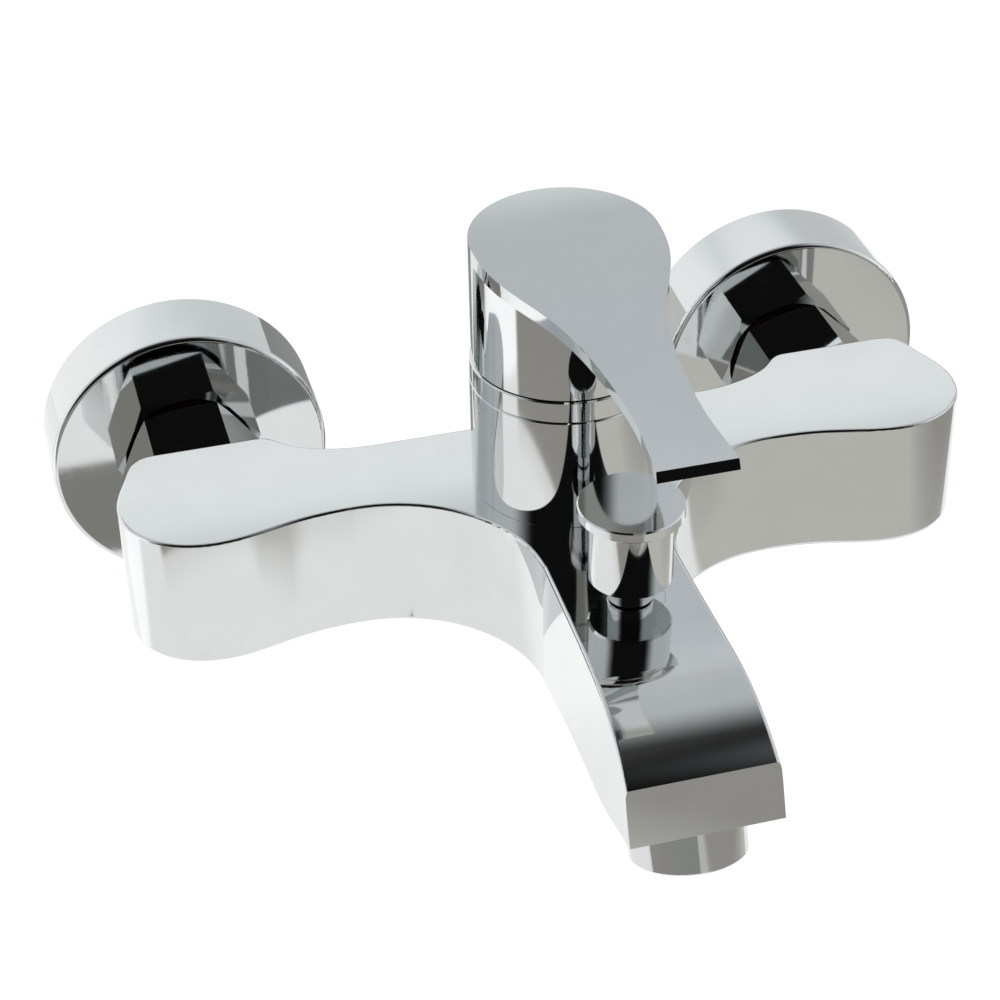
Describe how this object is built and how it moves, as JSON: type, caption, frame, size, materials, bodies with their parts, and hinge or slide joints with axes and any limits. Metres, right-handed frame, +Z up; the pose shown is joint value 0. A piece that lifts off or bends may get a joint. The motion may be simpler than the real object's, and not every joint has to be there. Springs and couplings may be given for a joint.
{
  "type": "wall mounted bath faucet",
  "caption": "Chrome wall mounted bath and shower mixer: lever cartridge on a wide two arm body, spout with aerator, pull-up diverter, shower outlet and wall unions.",
  "frame": {"origin": "on the wall plane, midway between the axes of the two union nuts", "axes": "+Z up; the wall is the plane y = 0 and the faucet stands out of it towards -Y; +X to the right of a person who faces the wall"},
  "size_m": [0.2148, 0.1885, 0.111],
  "materials": {
    "chrome": "polished",
    "brass": "machined",
    "rubber": "matte",
    "ceramic": "lapped",
    "cartridge_plastic": "moulded",
    "insert_plastic": "moulded",
    "steel": "machined"
  },
  "bodies": {
    "faucet_body": {"body": "chrome", "left_rosette": "chrome", "right_rosette": "chrome", "left_union_nut": "chrome", "right_union_nut": "chrome", "cartridge_cover": "chrome", "cover_ring": "chrome", "diverter_bush": "chrome", "aerator_housing": "chrome", "shower_outlet": "chrome", "left_inlet_nipple": "chrome", "right_inlet_nipple": "chrome", "left_eccentric_union": "brass", "right_eccentric_union": "brass", "cartridge_nut": "brass", "left_union_gasket": "rubber", "right_union_gasket": "rubber", "base_seals": "rubber", "cover_seal": "rubber", "diverter_seal": "rubber", "outlet_gasket": "rubber", "aerator_gasket": "rubber", "fixed_ceramic_disc": "ceramic", "cartridge_base": "cartridge_plastic", "cartridge_housing": "cartridge_plastic", "aerator_insert": "insert_plastic", "check_valve_housing": "insert_plastic", "diverter_spring": "steel", "check_valve_spring": "steel"},
    "rotor": {"rotor": "cartridge_plastic", "pivot_pin": "steel"},
    "lever": {"lever_stem": "steel", "lever_handle": "chrome", "grub_screw": "steel", "index_plug": "insert_plastic"},
    "disc": {"moving_ceramic_disc": "ceramic", "disc_carrier": "cartridge_plastic"},
    "diverter": {"diverter_knob": "chrome", "diverter_rod": "steel", "diverter_valve": "brass", "valve_washers": "rubber"},
    "check_poppet": {"check_valve_poppet": "insert_plastic"}
  },
  "joints": [
    {"name": "handle_turn", "type": "hinge", "parent": "faucet_body", "child": "rotor", "pos_m": [0, -0.077, 0.02], "axis": [0, 0, 1], "range_deg": [-50, 50]},
    {"name": "handle_lift", "type": "hinge", "parent": "rotor", "child": "lever", "pos_m": [0, -0.077, 0.037], "axis": [-1, 0, 0], "range_deg": [0, 25]},
    {"name": "disc_slide", "type": "slide", "parent": "rotor", "child": "disc", "axis": [0, -1, 0], "range_m": [0, 0.0061]},
    {"name": "diverter_lift", "type": "slide", "parent": "faucet_body", "child": "diverter", "axis": [0, 0, 1], "range_m": [0, 0.0068], "stiffness_N_per_m": 120, "springref_m": -0.005, "deforming": ["diverter_spring"]},
    {"name": "check_valve_lift", "type": "slide", "parent": "faucet_body", "child": "check_poppet", "axis": [0, 0, -1], "range_m": [0, 0.0025], "stiffness_N_per_m": 80, "springref_m": -0.003, "deforming": ["check_valve_spring"]}
  ],
  "couplings": [
    {"joint": "disc_slide", "follows": "handle_lift", "m_per_rad": 0.01375}
  ]
}
